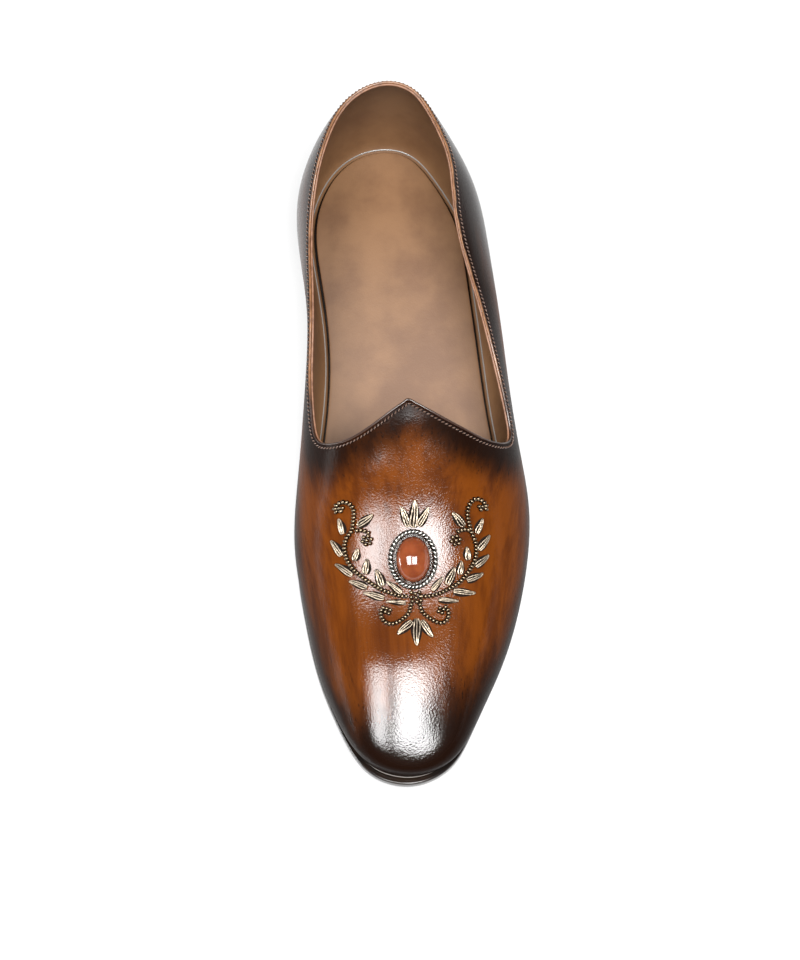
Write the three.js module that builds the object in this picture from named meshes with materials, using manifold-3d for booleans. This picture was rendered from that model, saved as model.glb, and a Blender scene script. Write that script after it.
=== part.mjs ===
// A slip-on shoe for the left foot: a whole-cut leather upper on a thin leather sole with a low
// stacked heel, and a raised bead and wire ornament round an oval stone on the vamp.
// Millimetres, +Z up. The toe points to -Y and the outer side of the foot is +X. The origin is
// the middle of the heel's tread, on the ground.
import * as THREE from 'three';
import { mergeVertices } from 'three/addons/utils/BufferGeometryUtils.js';
import Module from 'manifold-3d';

// Driving dimensions
const LENGTH = 299;            // upper, from the back of the heel to the toe
const BALL_WIDTH = 100;        // upper, across the ball of the foot
const INSTEP_HEIGHT = 72;      // throat peak above the edge of the insole
const HEEL_HEIGHT = 22;        // ground to the underside of the sole at the heel
const HEEL_REST = 34;          // back of the heel to the middle of its tread
const HEEL_RADIUS = 29;        // of the outline at the back of the heel
const TOE_RADIUS = 28;         // of the outline at the toe
const TOE_BLUNTNESS = 15;      // a higher power keeps the toe box full for longer
const HEEL_LEAN = 38;          // how far the quarters could close in over the heel
const WALL = 2;                // leather and lining together
const SOLE = 5;                // outsole
const INSOLE = 3;
const TOE_SPRING = 13;         // sole's underside at the toe
const TREAD_START = 190;       // the forefoot lies flat on the ground from here
const TREAD_END = 225;
const SEAT_END = 30;           // the heel seat is level up to here
const FEATHER_REST = 3.6;      // the sole stands this far out from the upper's lower edge
const INSOLE_GAP = 0.5;        // round the insole, inside the upper
const HEEL_LENGTH = 68;        // back of the upper to the heel's breast
const TOP_PIECE = 6;           // the heel's rubber tread
const GAP = 0.3;               // between pieces that touch

const STONE_AT = 0.713;        // middle of the stone, a share of LENGTH from the heel
const STONE_ACROSS = 0.014;    // and a share of BALL_WIDTH to the outer side
const STONE_WIDTH = 14.3;
const STONE_LENGTH = 19.3;
const STONE_HEIGHT = 6;
const BEZEL_BAND = 2.9;        // across its rope and its grains
const CHART_TURN = 3;          // degrees, the ornament against the shoe's length
const BEAD = 1.6;
const LEAF_HEIGHT = 1.3;

const COLUMNS = 64;            // round the shoe
const TOP_ROWS = 13;           // from the collar to the widest line
const SKIRT_ROWS = 4;          // from the widest line down to the sole
const HEEL_COLUMNS = 12;       // on either side of the heel

// Sections of the last. at: share of LENGTH from the heel. swing: the middle of its widest line,
// breadth: half its width, and ridge: its highest line, all as shares of BALL_WIDTH. inner, outer
// and crown: heights of the widest line on either side and of the ridge above the insole's edge,
// as shares of INSTEP_HEIGHT. full: how square the section is.
const SECTIONS = [
  { at: 0.05, swing: -0.018, breadth: 0.262, ridge: -0.10, inner: 0.30, outer: 0.30, crown: 1.15, full: 0 },
  { at: 0.13, swing: -0.012, breadth: 0.379, ridge: -0.16, inner: 0.30, outer: 0.30, crown: 0.99, full: 0 },
  { at: 0.22, swing: 0.010, breadth: 0.411, ridge: -0.16, inner: 0.36, outer: 0.30, crown: 0.88, full: 0.05 },
  { at: 0.34, swing: 0.039, breadth: 0.420, ridge: -0.08, inner: 0.52, outer: 0.26, crown: 0.88, full: 0.15 },
  { at: 0.46, swing: 0.040, breadth: 0.450, ridge: -0.01, inner: 0.40, outer: 0.22, crown: 1.02, full: 0.08 },
  { at: 0.54, swing: 0.040, breadth: 0.481, ridge: 0.02, inner: 0.26, outer: 0.20, crown: 1.00, full: 0 },
  { at: 0.60, swing: 0.038, breadth: 0.502, ridge: 0.02, inner: 0.20, outer: 0.19, crown: 0.86, full: 0 },
  { at: 0.66, swing: 0.030, breadth: 0.499, ridge: 0.02, inner: 0.18, outer: 0.18, crown: 0.71, full: 0.03 },
  { at: 0.74, swing: 0.020, breadth: 0.461, ridge: 0.01, inner: 0.16, outer: 0.16, crown: 0.59, full: 0.06 },
  { at: 0.85, swing: -0.009, breadth: 0.374, ridge: 0.00, inner: 0.14, outer: 0.14, crown: 0.48, full: 0.10 },
  { at: 0.95, swing: -0.028, breadth: 0.243, ridge: -0.02, inner: 0.12, outer: 0.12, crown: 0.32, full: 0.12 },
];
// The middle of the outline at its two ends, as shares of BALL_WIDTH.
const HEEL_SWING = 0;
const TOE_SWING = -0.025;

// The collar's edge on either side. turn: the column, in degrees round the shoe from the heel.
// at: where the edge lies, as a share of LENGTH. roll: its angle down from the ridge, in degrees.
const INNER_COLLAR = [
  { turn: 0, at: 0, roll: 54 },
  { turn: 28, at: 0.059, roll: 53 },
  { turn: 50, at: 0.179, roll: 53 },
  { turn: 75, at: 0.371, roll: 74 },
  { turn: 95, at: 0.480, roll: 67 },
  { turn: 110, at: 0.537, roll: 57 },
  { turn: 122, at: 0.555, roll: 42 },
  { turn: 137, at: 0.553, roll: 27 },
  { turn: 152, at: 0.542, roll: 16 },
  { turn: 166, at: 0.531, roll: 8 },
  { turn: 180, at: 0.520, roll: 0 },
];
const OUTER_COLLAR = [
  { turn: 0, at: 0, roll: 54 },
  { turn: 28, at: 0.059, roll: 51 },
  { turn: 50, at: 0.179, roll: 43.5 },
  { turn: 75, at: 0.371, roll: 50 },
  { turn: 95, at: 0.475, roll: 61 },
  { turn: 110, at: 0.534, roll: 62 },
  { turn: 122, at: 0.556, roll: 47 },
  { turn: 137, at: 0.554, roll: 30 },
  { turn: 152, at: 0.544, roll: 18 },
  { turn: 166, at: 0.533, roll: 9 },
  { turn: 180, at: 0.520, roll: 0 },
];

// How far the sole's edge stands out past the upper's widest line.
const SOLE_MARGIN = [
  { turn: 0, inner: -2, outer: -2 },
  { turn: 50, inner: -2.5, outer: -2.5 },
  { turn: 80, inner: -4, outer: -3.5 },
  { turn: 105, inner: -1, outer: -1.5 },
  { turn: 130, inner: -0.4, outer: -1.2 },
  { turn: 155, inner: 0.4, outer: -0.4 },
  { turn: 168, inner: 2.6, outer: 1.2 },
  { turn: 180, inner: 3.0, outer: 3.0 },
];

// A natural cubic spline through one named column of a table.
function through(rows, key, value) {
  const x = rows.map((row) => row[key]);
  const y = rows.map((row) => row[value]);
  const last = x.length - 1;
  const bend = new Array(last + 1).fill(0);
  const pull = new Array(last + 1).fill(0);
  for (let i = 1; i < last; i += 1) {
    const share = (x[i] - x[i - 1]) / (x[i + 1] - x[i - 1]);
    const slopes = (y[i + 1] - y[i]) / (x[i + 1] - x[i]) - (y[i] - y[i - 1]) / (x[i] - x[i - 1]);
    const weight = share * bend[i - 1] + 2;
    bend[i] = (share - 1) / weight;
    pull[i] = ((6 * slopes) / (x[i + 1] - x[i - 1]) - share * pull[i - 1]) / weight;
  }
  for (let i = last - 1; i >= 0; i -= 1) {
    bend[i] = bend[i] * bend[i + 1] + pull[i];
  }
  return (at) => {
    let i = 0;
    while (i < last - 1 && at > x[i + 1]) {
      i += 1;
    }
    const step = x[i + 1] - x[i];
    const a = (x[i + 1] - at) / step;
    const b = (at - x[i]) / step;
    const curve = ((a ** 3 - a) * bend[i] + (b ** 3 - b) * bend[i + 1]) * (step * step) / 6;
    return a * y[i] + b * y[i + 1] + curve;
  };
}

const { lerp, clamp, smoothstep, degToRad } = THREE.MathUtils;

// The height of the sole's underside at a station: heel seat, arch, flat tread and toe spring.
function underside(station) {
  const arch = HEEL_HEIGHT * smoothstep(TREAD_START - station, 0, TREAD_START - SEAT_END);
  const toe = Math.max(0, station - TREAD_END) / (LENGTH - TREAD_END);
  return arch + TOE_SPRING * toe ** 1.7;
}

// The edge of the insole, where the upper meets the sole.
const feather = (station) => underside(station) + SOLE + GAP;

// The table's breadth is the true half width. Divided by the sine of the outline's angle it
// stays smooth to the ends, where the outline closes in a circle of the heel's or toe's radius.
function sineAt(share) {
  return 2 * Math.sqrt(share * (1 - share));
}
const ENDS = {
  heel: { at: 0, swing: HEEL_SWING, reach: Math.sqrt((HEEL_RADIUS * LENGTH) / 2) / BALL_WIDTH },
  toe: { at: 1, swing: TOE_SWING, reach: Math.sqrt((TOE_RADIUS * LENGTH) / 2) / BALL_WIDTH },
};
const outlineRows = SECTIONS.map((row) => ({ ...row, reach: row.breadth / sineAt(row.at) }));
const wholeOutline = [ENDS.heel, ...outlineRows, ENDS.toe];
const swingAt = through(wholeOutline, 'at', 'swing');
const reachAt = through(wholeOutline, 'at', 'reach');
const column = Object.fromEntries(
  ['ridge', 'inner', 'outer', 'crown', 'full'].map((key) => [key, through(SECTIONS, 'at', key)]),
);

// The widest line, seen from above, at an angle of 0 at the heel to 180 at the toe. side is -1
// on the inner side and +1 on the outer side.
function outline(turn, side) {
  const share = (1 - Math.cos(degToRad(turn))) / 2;
  const x = swingAt(share) + side * reachAt(share) * Math.sin(degToRad(turn));
  return new THREE.Vector2(x * BALL_WIDTH, share * LENGTH);
}

function outwardAt(turn, side) {
  const step = 0.5;
  const before = outline(turn - step, side);
  const after = outline(turn + step, side);
  return new THREE.Vector2(after.y - before.y, before.x - after.x).multiplyScalar(side).normalize();
}

// One section: the ridge and the widest point of a side, in the section's own plane.
function sectionAt(station, side) {
  const at = station / LENGTH;
  const base = feather(station);
  const girth = base + column[side < 0 ? 'inner' : 'outer'](at) * INSTEP_HEIGHT;
  const crown = base + column.crown(at) * INSTEP_HEIGHT;
  const closing = Math.sqrt(Math.max(0, 1 - at ** TOE_BLUNTNESS));
  const widest = (swingAt(at) + side * reachAt(at) * sineAt(at)) * BALL_WIDTH;
  const ridge = column.ridge(at) * BALL_WIDTH;
  return { girth, rise: (crown - girth) * closing, widest, ridge, full: column.full(at) };
}
const spread = (roll, full) => Math.sin(roll) * (1 + full * Math.cos(roll) ** 2);
const lift = (roll, full) => Math.cos(roll) * (1 + full * Math.sin(roll) ** 2);

// The roll at which a section reaches a share of its half width.
function rollFor(reach, full) {
  let sine = reach;
  for (let i = 0; i < 30; i += 1) {
    sine = reach / (1 + full * (1 - sine * sine));
  }
  return Math.asin(clamp(sine, 0, 1));
}

// A point of the quarters behind the instep. Round the heel the walls close in along the
// outline's own normal, and further forward within the section's plane.
function quarterPoint(turn, side, roll) {
  const edge = outline(turn, side);
  const section = sectionAt(edge.y, side);
  const inward = outwardAt(turn, side).multiplyScalar(-HEEL_LEAN);
  const forward = smoothstep(edge.y, 20, 100);
  const closing = new THREE.Vector2(
    lerp(inward.x, section.ridge - section.widest, forward),
    lerp(inward.y, 0, forward),
  );
  const closed = 1 - spread(roll, section.full);
  return new THREE.Vector3(
    edge.x + closing.x * closed,
    edge.y + closing.y * closed,
    section.girth + section.rise * lift(roll, section.full),
  );
}

// The height of the vamp at a station and a distance across.
function vampHeight(station, x) {
  const ridge = sectionAt(station, 1).ridge;
  const section = sectionAt(station, x < ridge ? -1 : 1);
  const reach = clamp((x - section.ridge) / (section.widest - section.ridge), 0, 1);
  return section.girth + section.rise * lift(rollFor(reach, section.full), section.full);
}

const collarAt = [INNER_COLLAR, OUTER_COLLAR].map((rows) => ({
  at: through(rows, 'turn', 'at'),
  roll: through(rows, 'turn', 'roll'),
}));

// A fine path down one column, from the collar to the widest line.
const PATH_STEPS = 80;
const QUARTER_END = 75;
function columnPath(turn, side) {
  const collar = collarAt[side < 0 ? 0 : 1];
  const rollTop = degToRad(collar.roll(turn));
  const path = [];
  if (turn <= QUARTER_END) {
    for (let i = 0; i <= PATH_STEPS; i += 1) {
      path.push(quarterPoint(turn, side, lerp(rollTop, Math.PI / 2, i / PATH_STEPS)));
    }
    return path;
  }
  const foot = outline(turn, side);
  const start = collar.at(turn) * LENGTH;
  const top = sectionAt(start, side);
  const topReach = spread(rollTop, top.full);
  const topX = lerp(top.ridge, top.widest, topReach);
  const straight = smoothstep(turn, 90, 130);
  for (let i = 0; i <= PATH_STEPS; i += 1) {
    const down = Math.sin((i / PATH_STEPS) * Math.PI / 2);
    const station = lerp(start, foot.y, down);
    const section = sectionAt(station, side);
    const along = lerp(section.ridge, section.widest, lerp(topReach, 1, down));
    const across = lerp(topX, foot.x, down);
    const x = lerp(along, across, straight);
    path.push(new THREE.Vector3(x, station, i === PATH_STEPS ? section.girth : vampHeight(station, x)));
  }
  return path;
}

// Points at even steps along a path, closer together near both of its ends.
function resample(path, rows) {
  const lengths = [0];
  for (let i = 1; i < path.length; i += 1) {
    lengths.push(lengths[i - 1] + path[i].distanceTo(path[i - 1]));
  }
  const total = lengths[lengths.length - 1];
  const points = [];
  let i = 1;
  for (let row = 0; row <= rows; row += 1) {
    const even = row / rows;
    const want = total * lerp(even, (1 - Math.cos(Math.PI * even)) / 2, 0.5);
    while (i < path.length - 1 && lengths[i] < want) {
      i += 1;
    }
    const share = clamp((want - lengths[i - 1]) / (lengths[i] - lengths[i - 1]), 0, 1);
    points.push(path[i - 1].clone().lerp(path[i], share));
  }
  return points;
}

// How far the sole's edge stands out, and how far the upper tucks in above it.
const marginRows = { inner: through(SOLE_MARGIN, 'turn', 'inner'), outer: through(SOLE_MARGIN, 'turn', 'outer') };
const marginAt = (turn, side) => marginRows[side < 0 ? 'inner' : 'outer'](turn);
const tuckAt = (turn, side) => FEATHER_REST - marginAt(turn, side);

// One column of the upper's outer face, from the collar to the sole.
function upperColumn(turn, side) {
  const points = resample(columnPath(turn, side), TOP_ROWS);
  const girth = points[points.length - 1];
  const outward = outwardAt(turn, side);
  for (let row = 1; row <= SKIRT_ROWS; row += 1) {
    const fall = (row / SKIRT_ROWS) * Math.PI / 2;
    const tuck = tuckAt(turn, side) * (1 - Math.cos(fall));
    const x = girth.x - outward.x * tuck;
    const station = girth.y - outward.y * tuck;
    points.push(new THREE.Vector3(x, station, lerp(girth.z, feather(station), Math.sin(fall))));
  }
  return points;
}

// From a station along the shoe to the part's own frame.
const place = (point) => new THREE.Vector3(point.x, HEEL_REST - point.y, point.z);

// The angle and side of each column, round the heel's inner side to the toe and back.
const ROUND = Array.from({ length: COLUMNS }, (_, i) => {
  const turn = (360 * i) / COLUMNS;
  return turn <= 180 ? { turn, side: -1 } : { turn: 360 - turn, side: 1 };
});

// A closed skin from rings of points: each ring is joined to the next, and the last to the first.
function skinOfRings(rings) {
  const count = rings[0].length;
  const position = rings.flat().flatMap((point) => point.toArray());
  const index = [];
  rings.forEach((ring, r) => {
    const next = (r + 1) % rings.length;
    for (let i = 0; i < count; i += 1) {
      const j = (i + 1) % count;
      const [a, b, c, d] = [r * count + i, r * count + j, next * count + j, next * count + i];
      index.push(a, c, b, a, d, c);
    }
  });
  const geometry = new THREE.BufferGeometry();
  geometry.setAttribute('position', new THREE.Float32BufferAttribute(position, 3));
  geometry.setIndex(index);
  return geometry;
}

// The upper: outer face from collar to sole, then the inner face back up, a wall apart.
function upperGeometry() {
  const columns = ROUND.map(({ turn, side }) => upperColumn(turn, side));
  const rows = columns[0].length;
  const outer = Array.from({ length: rows }, (_, row) => columns.map((points) => place(points[row])));
  const inner = outer.map((ring, row) => ring.map((point, i) => {
    const before = ring[(i + COLUMNS - 1) % COLUMNS];
    const after = ring[(i + 1) % COLUMNS];
    const above = outer[Math.max(row - 1, 0)][i];
    const below = outer[Math.min(row + 1, rows - 1)][i];
    const around = after.clone().sub(before);
    const down = below.clone().sub(above);
    const inward = around.cross(down);
    if (row === rows - 1) {
      inward.z = 0;
    }
    return point.clone().addScaledVector(inward.normalize(), WALL);
  }));
  return skinOfRings([...outer, ...inner.reverse()]);
}

// A flat-edged layer under the foot, from loops of points given top to bottom. Its two faces
// are strips across, because they bend along the shoe alone.
function layer(loops) {
  const count = loops[0].length;
  const position = loops.flat().flatMap((point) => point.toArray());
  const index = [];
  for (let r = 0; r < loops.length - 1; r += 1) {
    for (let i = 0; i < count; i += 1) {
      const j = (i + 1) % count;
      const [a, b, c, d] = [r * count + i, r * count + j, (r + 1) * count + j, (r + 1) * count + i];
      index.push(a, c, b, a, d, c);
    }
  }
  const bottom = (loops.length - 1) * count;
  for (let i = 0; i < Math.floor(count / 2); i += 1) {
    const [a, b, c, d] = [i, i + 1, count - i - 1, (count - i) % count];
    if (b !== c) {
      index.push(a, b, c);
      index.push(bottom + a, bottom + c, bottom + b);
    }
    if (a !== d) {
      index.push(a, c, d);
      index.push(bottom + a, bottom + d, bottom + c);
    }
  }
  const geometry = new THREE.BufferGeometry();
  geometry.setAttribute('position', new THREE.Float32BufferAttribute(position, 3));
  geometry.setIndex(index);
  return geometry;
}

// A loop of the sole's outline, stepped out from its edge, at a height above its underside.
function soleLoop(out, height) {
  return ROUND.map(({ turn, side }) => {
    const point = outline(turn, side).addScaledVector(outwardAt(turn, side), marginAt(turn, side) + out);
    return place(new THREE.Vector3(point.x, point.y, underside(point.y) + height));
  });
}

// The heel: a loop round its back and sides, closed straight across its breast.
function heelLoop(out, heightAt) {
  const end = (Math.acos(1 - (2 * HEEL_LENGTH) / LENGTH) * 180) / Math.PI;
  const inner = Array.from({ length: HEEL_COLUMNS + 1 }, (_, i) => ({ turn: (end * i) / HEEL_COLUMNS, side: -1 }));
  const outer = inner.slice(1).reverse().map(({ turn }) => ({ turn, side: 1 }));
  return [...inner, ...outer].map(({ turn, side }) => {
    const point = outline(turn, side).addScaledVector(outwardAt(turn, side), marginAt(turn, side) + out);
    point.y = turn === end ? HEEL_LENGTH : point.y;
    return place(new THREE.Vector3(point.x, point.y, heightAt(point.y)));
  });
}

// The insole lies inside the upper's lower edge.
function insoleLoop(height) {
  const edge = FEATHER_REST + WALL + INSOLE_GAP;
  return ROUND.map(({ turn, side }) => {
    const point = outline(turn, side).addScaledVector(outwardAt(turn, side), marginAt(turn, side) - edge);
    return place(new THREE.Vector3(point.x, point.y, feather(point.y) + height));
  });
}

// The ornament is drawn flat, in millimetres from the middle of the stone: u towards the outer
// side and v towards the heel. It is laid on the plane that touches the vamp there, and goes
// down square to that plane onto the leather.
function leather(x, y) {
  return new THREE.Vector3(x, y, vampHeight(HEEL_REST - y, x));
}
function leatherFrame(x, y) {
  const step = 0.5;
  const across = leather(x + step, y).sub(leather(x - step, y)).normalize();
  const back = leather(x, y + step).sub(leather(x, y - step)).normalize();
  return { back, normal: across.cross(back).normalize() };
}
const stoneSeat = leather(STONE_ACROSS * BALL_WIDTH, HEEL_REST - STONE_AT * LENGTH);
const chart = leatherFrame(stoneSeat.x, stoneSeat.y);
chart.v = chart.back.clone().applyAxisAngle(chart.normal, degToRad(-CHART_TURN));
chart.u = chart.v.clone().cross(chart.normal);

// A point of the drawing on the leather, raised off it by a height.
function onVamp([u, v], height) {
  const above = stoneSeat.clone().addScaledVector(chart.u, u).addScaledVector(chart.v, v);
  let [low, high] = [-45, 15];
  const at = new THREE.Vector3();
  for (let i = 0; i < 40; i += 1) {
    const middle = (low + high) / 2;
    at.copy(above).addScaledVector(chart.normal, middle);
    if (at.z > leather(at.x, at.y).z) {
      high = middle;
    } else {
      low = middle;
    }
  }
  return at.addScaledVector(leatherFrame(at.x, at.y).normal, height);
}

// A closed body from rings of points, with a pole at either end.
function bodyOfRings(start, rings, end) {
  const count = rings[0].length;
  const position = [start, ...rings.flat(), end].flatMap((point) => point.toArray());
  const last = position.length / 3 - 1;
  const index = [];
  for (let i = 0; i < count; i += 1) {
    const j = (i + 1) % count;
    index.push(0, 1 + j, 1 + i);
    for (let r = 0; r < rings.length - 1; r += 1) {
      const [a, b] = [1 + r * count + i, 1 + r * count + j];
      index.push(a, b, b + count, a, b + count, a + count);
    }
    index.push(last - count + i, last - count + j, last);
  }
  const geometry = new THREE.BufferGeometry();
  geometry.setAttribute('position', new THREE.Float32BufferAttribute(position, 3));
  geometry.setIndex(index);
  return geometry;
}

function ellipse(width, length, count) {
  return Array.from({ length: count }, (_, i) => {
    const angle = (2 * Math.PI * i) / count;
    return [(width / 2) * Math.cos(angle), (length / 2) * Math.sin(angle)];
  });
}

// The stone: a cabochon, from its flat underside over its girdle to the top of its dome.
const STONE_PROFILE = [
  { wide: 0.6, high: GAP },
  { wide: 1, high: GAP },
  { wide: 1, high: 1.2 },
  { wide: 0.93, high: 2.7 },
  { wide: 0.77, high: 4.1 },
  { wide: 0.52, high: 5.2 },
  { wide: 0.24, high: 5.8 },
];
function stoneGeometry() {
  const rings = STONE_PROFILE.map(({ wide, high }) => (
    ellipse(STONE_WIDTH * wide, STONE_LENGTH * wide, 24).map((point) => onVamp(point, high))
  ));
  return bodyOfRings(onVamp([0, 0], GAP), rings, onVamp([0, 0], STONE_HEIGHT));
}

// The bezel: a rope of wire outside and a row of grains inside, as one ring round the stone.
const BEZEL_PROFILE = [
  { out: 1, high: GAP },
  { out: 1, high: 1.2 },
  { out: 0.84, high: 2.1 },
  { out: 0.56, high: 2.1 },
  { out: 0.42, high: 1.5 },
  { out: 0.3, high: 1.9 },
  { out: 0.1, high: 1.9 },
  { out: 0, high: 1.2 },
  { out: 0, high: GAP },
];
function bezelGeometry() {
  const rings = BEZEL_PROFILE.map(({ out, high }) => {
    const more = 2 * (GAP + BEZEL_BAND * out);
    return ellipse(STONE_WIDTH + more, STONE_LENGTH + more, 32).map((point) => onVamp(point, high));
  });
  return skinOfRings(rings.reverse());
}

// A string of beads couched down along a drawn line.
function beadString(points, steps) {
  const drawn = new THREE.SplineCurve(points.map(([u, v]) => new THREE.Vector2(u, v)));
  const laid = drawn.getSpacedPoints(steps).map((at) => onVamp([at.x, at.y], GAP + BEAD / 2));
  const section = new THREE.Shape(ellipse(BEAD, BEAD, 6).map(([x, y]) => new THREE.Vector2(x, y)));
  return new THREE.ExtrudeGeometry(section, {
    extrudePath: new THREE.CatmullRomCurve3(laid),
    steps,
    bevelEnabled: false,
  });
}

// A leaf of laid wire: a low dome, pointed at both ends.
const LEAF_RINGS = [0.14, 0.34, 0.56, 0.76, 0.92];
function leafGeometry({ base, tip, width }) {
  const along = [tip[0] - base[0], tip[1] - base[1]];
  const length = Math.hypot(...along);
  const across = [along[1] / length, -along[0] / length];
  const at = (share, side) => [
    base[0] + along[0] * share + across[0] * side,
    base[1] + along[1] * share + across[1] * side,
  ];
  const rings = LEAF_RINGS.map((share) => {
    const swell = Math.sin(Math.PI * share ** 0.85);
    const half = (width / 2) * swell;
    return [
      onVamp(at(share, -half), GAP + 0.25),
      onVamp(at(share, 0), GAP + LEAF_HEIGHT * swell),
      onVamp(at(share, half), GAP + 0.25),
      onVamp(at(share, 0), GAP),
    ];
  });
  return bodyOfRings(onVamp(at(0, 0), GAP + 0.1), rings, onVamp(at(1, 0), GAP + 0.1));
}

// Solids that are joined or cut
const wasm = await Module();
wasm.setup();
function solid(geometry) {
  const bare = geometry.clone();
  bare.deleteAttribute('normal');
  bare.deleteAttribute('uv');
  const merged = mergeVertices(bare, 1e-4);
  return new wasm.Manifold(new wasm.Mesh({
    numProp: 3,
    vertProperties: new Float32Array(merged.getAttribute('position').array),
    triVerts: new Uint32Array(merged.index.array),
  }));
}
function geometryOf(manifold) {
  const mesh = manifold.getMesh();
  const geometry = new THREE.BufferGeometry();
  geometry.setAttribute('position', new THREE.BufferAttribute(mesh.vertProperties, 3));
  geometry.setIndex(new THREE.BufferAttribute(mesh.triVerts, 1));
  return geometry;
}

// The drawing. Vines rise from below the stone and end in a curl, with a hook on the inside.
// Scrolls hang below the stone.
const VINES = {
  inner: [[-3.0, -15.5], [-5.8, -15.3], [-10, -13.8], [-13.7, -12.2], [-17.2, -9.8], [-21.2, -6.8],
    [-24.7, -3.3], [-27, 1], [-27.8, 5.6], [-27, 9.4], [-24.9, 12.5], [-24.3, 16.2], [-24, 20.2],
    [-25.3, 23.3], [-28.3, 24.6], [-31, 23.4], [-31.5, 21.2], [-29.8, 19.8]],
  outer: [[3.4, -15.5], [6.2, -15.4], [10, -14.5], [14.1, -12.6], [18.7, -9.7], [22, -6],
    [24.6, -1.9], [26, 2.1], [26.1, 6.1], [25.3, 9.2], [24.1, 12], [23.2, 15.4], [22.5, 19.4],
    [23.3, 23.2], [25.8, 25.7], [28.8, 25], [30.6, 22.4], [29.4, 20.5]],
};
const HOOKS = {
  inner: [[-25, 11.8], [-23, 12.6], [-19.9, 12], [-17.2, 10.4], [-16.7, 8.2], [-18.4, 6.8], [-20, 8.4]],
  outer: [[24.3, 11.6], [22.3, 12.5], [18.5, 12.1], [16.3, 10.4], [16, 7.9], [17.5, 6.2], [19.1, 7.8]],
};
const SCROLLS = {
  inner: [[-1.0, -14.5], [-1.0, -17.2], [-0.6, -19.8], [-1.5, -22], [-3.4, -24.2], [-6.4, -26.3],
    [-8.8, -27.1], [-11, -26.7], [-12.8, -24.9], [-13.4, -22.6], [-12.8, -20.6], [-11, -19.6],
    [-9.5, -20.5], [-9.6, -22.4]],
  outer: [[1.5, -14.5], [1.5, -17.2], [1.9, -19.8], [3.3, -21.9], [5.2, -23.7], [8.2, -25.8],
    [10.8, -26.7], [12.8, -26.2], [14.1, -24.4], [14.3, -22.2], [13.4, -20.2], [11.7, -19.4],
    [10.2, -20.4], [10.4, -22.2]],
};
const LEAVES = {
  crown: [
    { base: [-1.5, 13.8], tip: [-5, 21.7], width: 2.8 },
    { base: [0.5, 13.3], tip: [0.6, 24.5], width: 3.4 },
    { base: [2.5, 13.8], tip: [6.3, 21.7], width: 2.8 },
  ],
  base: [
    { base: [-1.0, -25.8], tip: [-6.6, -31.4], width: 2.8 },
    { base: [0.9, -25], tip: [1.2, -36], width: 3.4 },
    { base: [2.9, -25.9], tip: [7.7, -32.4], width: 2.8 },
  ],
  inner: [
    { base: [-28.5, 11.4], tip: [-30.4, 17.6], width: 2.4 },
    { base: [-29, 2.4], tip: [-33.5, 8.7], width: 2.6 },
    { base: [-24.8, -6], tip: [-31.7, -1.3], width: 2.6 },
    { base: [-18.9, -11.3], tip: [-26.1, -8.7], width: 2.6 },
    { base: [-12, -15.9], tip: [-20.3, -13.8], width: 2.6 },
    { base: [-3.2, -18], tip: [-11, -17.5], width: 1.8 },
    { base: [-22.4, 14.2], tip: [-16.6, 18.9], width: 3 },
    { base: [-23.8, 0], tip: [-22.8, 4.8], width: 2.6 },
    { base: [-19.3, -5.8], tip: [-19.1, 0.4], width: 2.8 },
    { base: [-12.4, -11], tip: [-15.4, -4.1], width: 3 },
    { base: [-4.8, -13.9], tip: [-10.9, -9.2], width: 2.2 },
  ],
  outer: [
    { base: [26.8, 11.3], tip: [29, 17.6], width: 2.4 },
    { base: [27.7, 4.3], tip: [32, 10.8], width: 2.6 },
    { base: [26.2, -2.8], tip: [31.5, 2.5], width: 2.6 },
    { base: [22.4, -8.8], tip: [29, -5.4], width: 2.6 },
    { base: [16.6, -13.4], tip: [25.7, -13.7], width: 2.6 },
    { base: [10.4, -16.9], tip: [18.5, -17.2], width: 2 },
    { base: [21.4, 14.4], tip: [16.4, 19.5], width: 3 },
    { base: [23.2, 0.2], tip: [22.2, 5.4], width: 2.6 },
    { base: [19.7, -6.1], tip: [19.9, -0.6], width: 2.6 },
    { base: [14.4, -10.6], tip: [17, -3.2], width: 3 },
    { base: [7.9, -13.1], tip: [12, -7.4], width: 2.2 },
  ],
};

const part = new THREE.Group();
function add(name, geometry, finish) {
  const mesh = new THREE.Mesh(geometry, new THREE.MeshStandardMaterial(finish));
  mesh.name = name;
  part.add(mesh);
}

const UPPER_LEATHER = { color: 0x7d431a, roughness: 0.3, metalness: 0 };
const LINING_LEATHER = { color: 0xc79a6b, roughness: 0.6, metalness: 0 };
const SOLE_LEATHER = { color: 0x23160f, roughness: 0.4, metalness: 0 };
const HEEL_RUBBER = { color: 0x161514, roughness: 0.75, metalness: 0 };
const CARNELIAN = { color: 0xb2441a, roughness: 0.08, metalness: 0 };
const DARK_SILVER = { color: 0x8d8a82, roughness: 0.35, metalness: 1 };
const BRONZE_BEAD = { color: 0x6b5640, roughness: 0.3, metalness: 1 };
const PALE_WIRE = { color: 0xb6a98c, roughness: 0.4, metalness: 1 };

// The shoe, from the ground up
add('top_piece', layer([heelLoop(-1.6, () => TOP_PIECE), heelLoop(-2, () => 0)]), HEEL_RUBBER);
add('heel_stack', layer([
  heelLoop(-0.6, (station) => underside(station) - GAP),
  heelLoop(-1.6, () => TOP_PIECE + GAP),
]), SOLE_LEATHER);
add('outsole', layer([
  soleLoop(-0.3, SOLE),
  soleLoop(0, SOLE * 0.8),
  soleLoop(0, SOLE * 0.25),
  soleLoop(-0.6, 0),
]), SOLE_LEATHER);
add('insole', layer([insoleLoop(INSOLE), insoleLoop(0)]), LINING_LEATHER);
add('upper', upperGeometry(), UPPER_LEATHER);

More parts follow.
